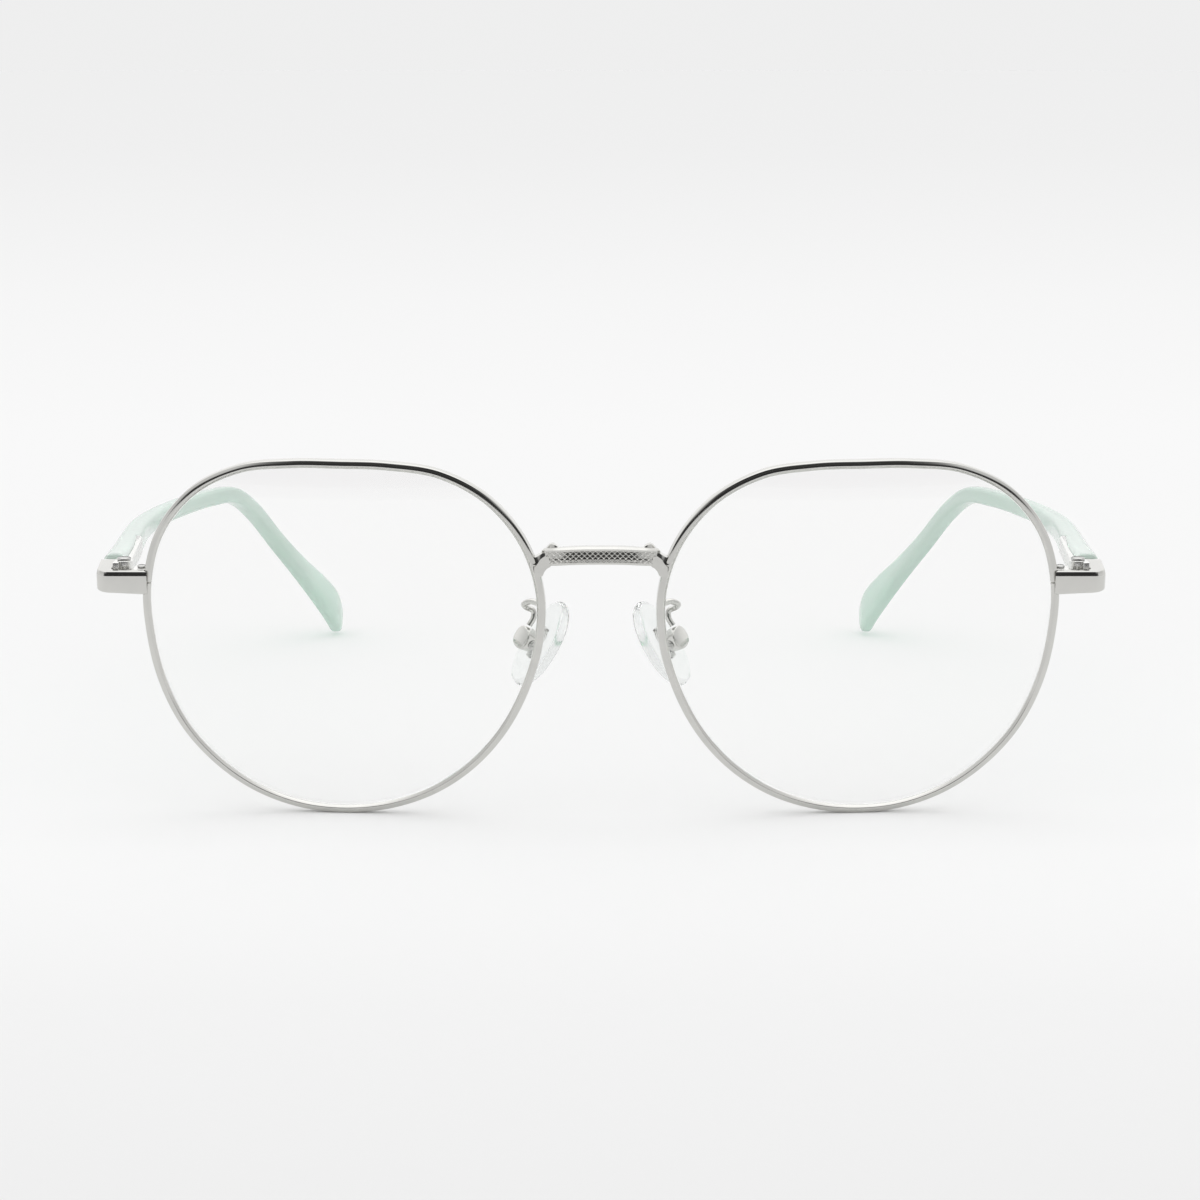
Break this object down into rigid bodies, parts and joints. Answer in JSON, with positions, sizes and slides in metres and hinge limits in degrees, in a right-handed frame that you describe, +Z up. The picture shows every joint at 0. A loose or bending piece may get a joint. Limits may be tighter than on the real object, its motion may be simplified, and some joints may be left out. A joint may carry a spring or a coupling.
{
  "type": "round wire eyeglasses",
  "caption": "Round wire eyeglasses with a flat crown, knurled bridge, adjustable nose pads and translucent temples that fold on sprung hinges.",
  "frame": {"origin": "centre of the bridge's flat front face", "axes": "+X to the wearer's left, +Y back along the temples, +Z up and square to a table that the rims and temple tips rest on"},
  "size_m": [0.1432, 0.1362, 0.0504],
  "materials": {
    "polished_silver": "polished plating",
    "knurled_silver": "polished plating with a fine diamond knurl on the bar's front",
    "satin_steel": "fine brushed",
    "screw_steel": "turned, with a straight driver slot",
    "spring_steel": "drawn wire",
    "mint_acetate": "translucent pale mint, polished",
    "lens_clear": "clear, polished",
    "pad_clear": "clear soft plastic with a fine matte face"
  },
  "bodies": {
    "front": {"bridge": "knurled_silver", "left_rim": "polished_silver", "left_lens": "lens_clear", "left_end_piece": "polished_silver", "left_lock_block_upper": "satin_steel", "left_lock_block_lower": "satin_steel", "left_lock_screw": "screw_steel", "left_pad_arm": "polished_silver", "left_pad_box": "polished_silver", "left_pad_screw": "screw_steel", "left_hinge_front": "satin_steel", "left_hinge_screw": "screw_steel", "right_rim": "polished_silver", "right_lens": "lens_clear", "right_end_piece": "polished_silver", "right_lock_block_upper": "satin_steel", "right_lock_block_lower": "satin_steel", "right_lock_screw": "screw_steel", "right_pad_arm": "polished_silver", "right_pad_box": "polished_silver", "right_pad_screw": "screw_steel", "right_hinge_front": "satin_steel", "right_hinge_screw": "screw_steel"},
    "left_slider": {"left_spring_slider": "satin_steel", "left_slider_spring": "spring_steel", "left_slider_nut": "screw_steel"},
    "left_temple": {"left_spring_housing": "satin_steel", "left_slider_retainer": "satin_steel", "left_core_wire": "satin_steel", "left_temple": "mint_acetate"},
    "left_pad": {"left_nose_pad": "pad_clear", "left_pad_insert": "satin_steel"},
    "right_slider": {"right_spring_slider": "satin_steel", "right_slider_spring": "spring_steel", "right_slider_nut": "screw_steel"},
    "right_temple": {"right_spring_housing": "satin_steel", "right_slider_retainer": "satin_steel", "right_core_wire": "satin_steel", "right_temple": "mint_acetate"},
    "right_pad": {"right_nose_pad": "pad_clear", "right_pad_insert": "satin_steel"}
  },
  "joints": [
    {"name": "left_temple_hinge", "type": "hinge", "parent": "front", "child": "left_slider", "pos_m": [0.06595, 0.0098, -0.0041], "axis": [0, 0, 1], "range_deg": [-8, 80]},
    {"name": "left_spring_slide", "type": "slide", "parent": "left_slider", "child": "left_temple", "axis": [0.0698, 0.9976, 0], "range_m": [0, 0.0015], "stiffness_N_per_m": 600, "deforming": ["left_slider_spring"]},
    {"name": "left_pad_rock", "type": "hinge", "parent": "front", "child": "left_pad", "pos_m": [0.01012, 0.00768, -0.01301], "axis": [-0.4542, -0.8149, -0.3601], "range_deg": [-8, 8]},
    {"name": "right_temple_hinge", "type": "hinge", "parent": "front", "child": "right_slider", "pos_m": [-0.06595, 0.0098, -0.0041], "axis": [0, 0, -1], "range_deg": [-8, 74]},
    {"name": "right_spring_slide", "type": "slide", "parent": "right_slider", "child": "right_temple", "axis": [-0.0698, 0.9976, 0], "range_m": [0, 0.0015], "stiffness_N_per_m": 600, "deforming": ["right_slider_spring"]},
    {"name": "right_pad_rock", "type": "hinge", "parent": "front", "child": "right_pad", "pos_m": [-0.01012, 0.00768, -0.01301], "axis": [0.4542, -0.8149, -0.3601], "range_deg": [-8, 8]}
  ]
}
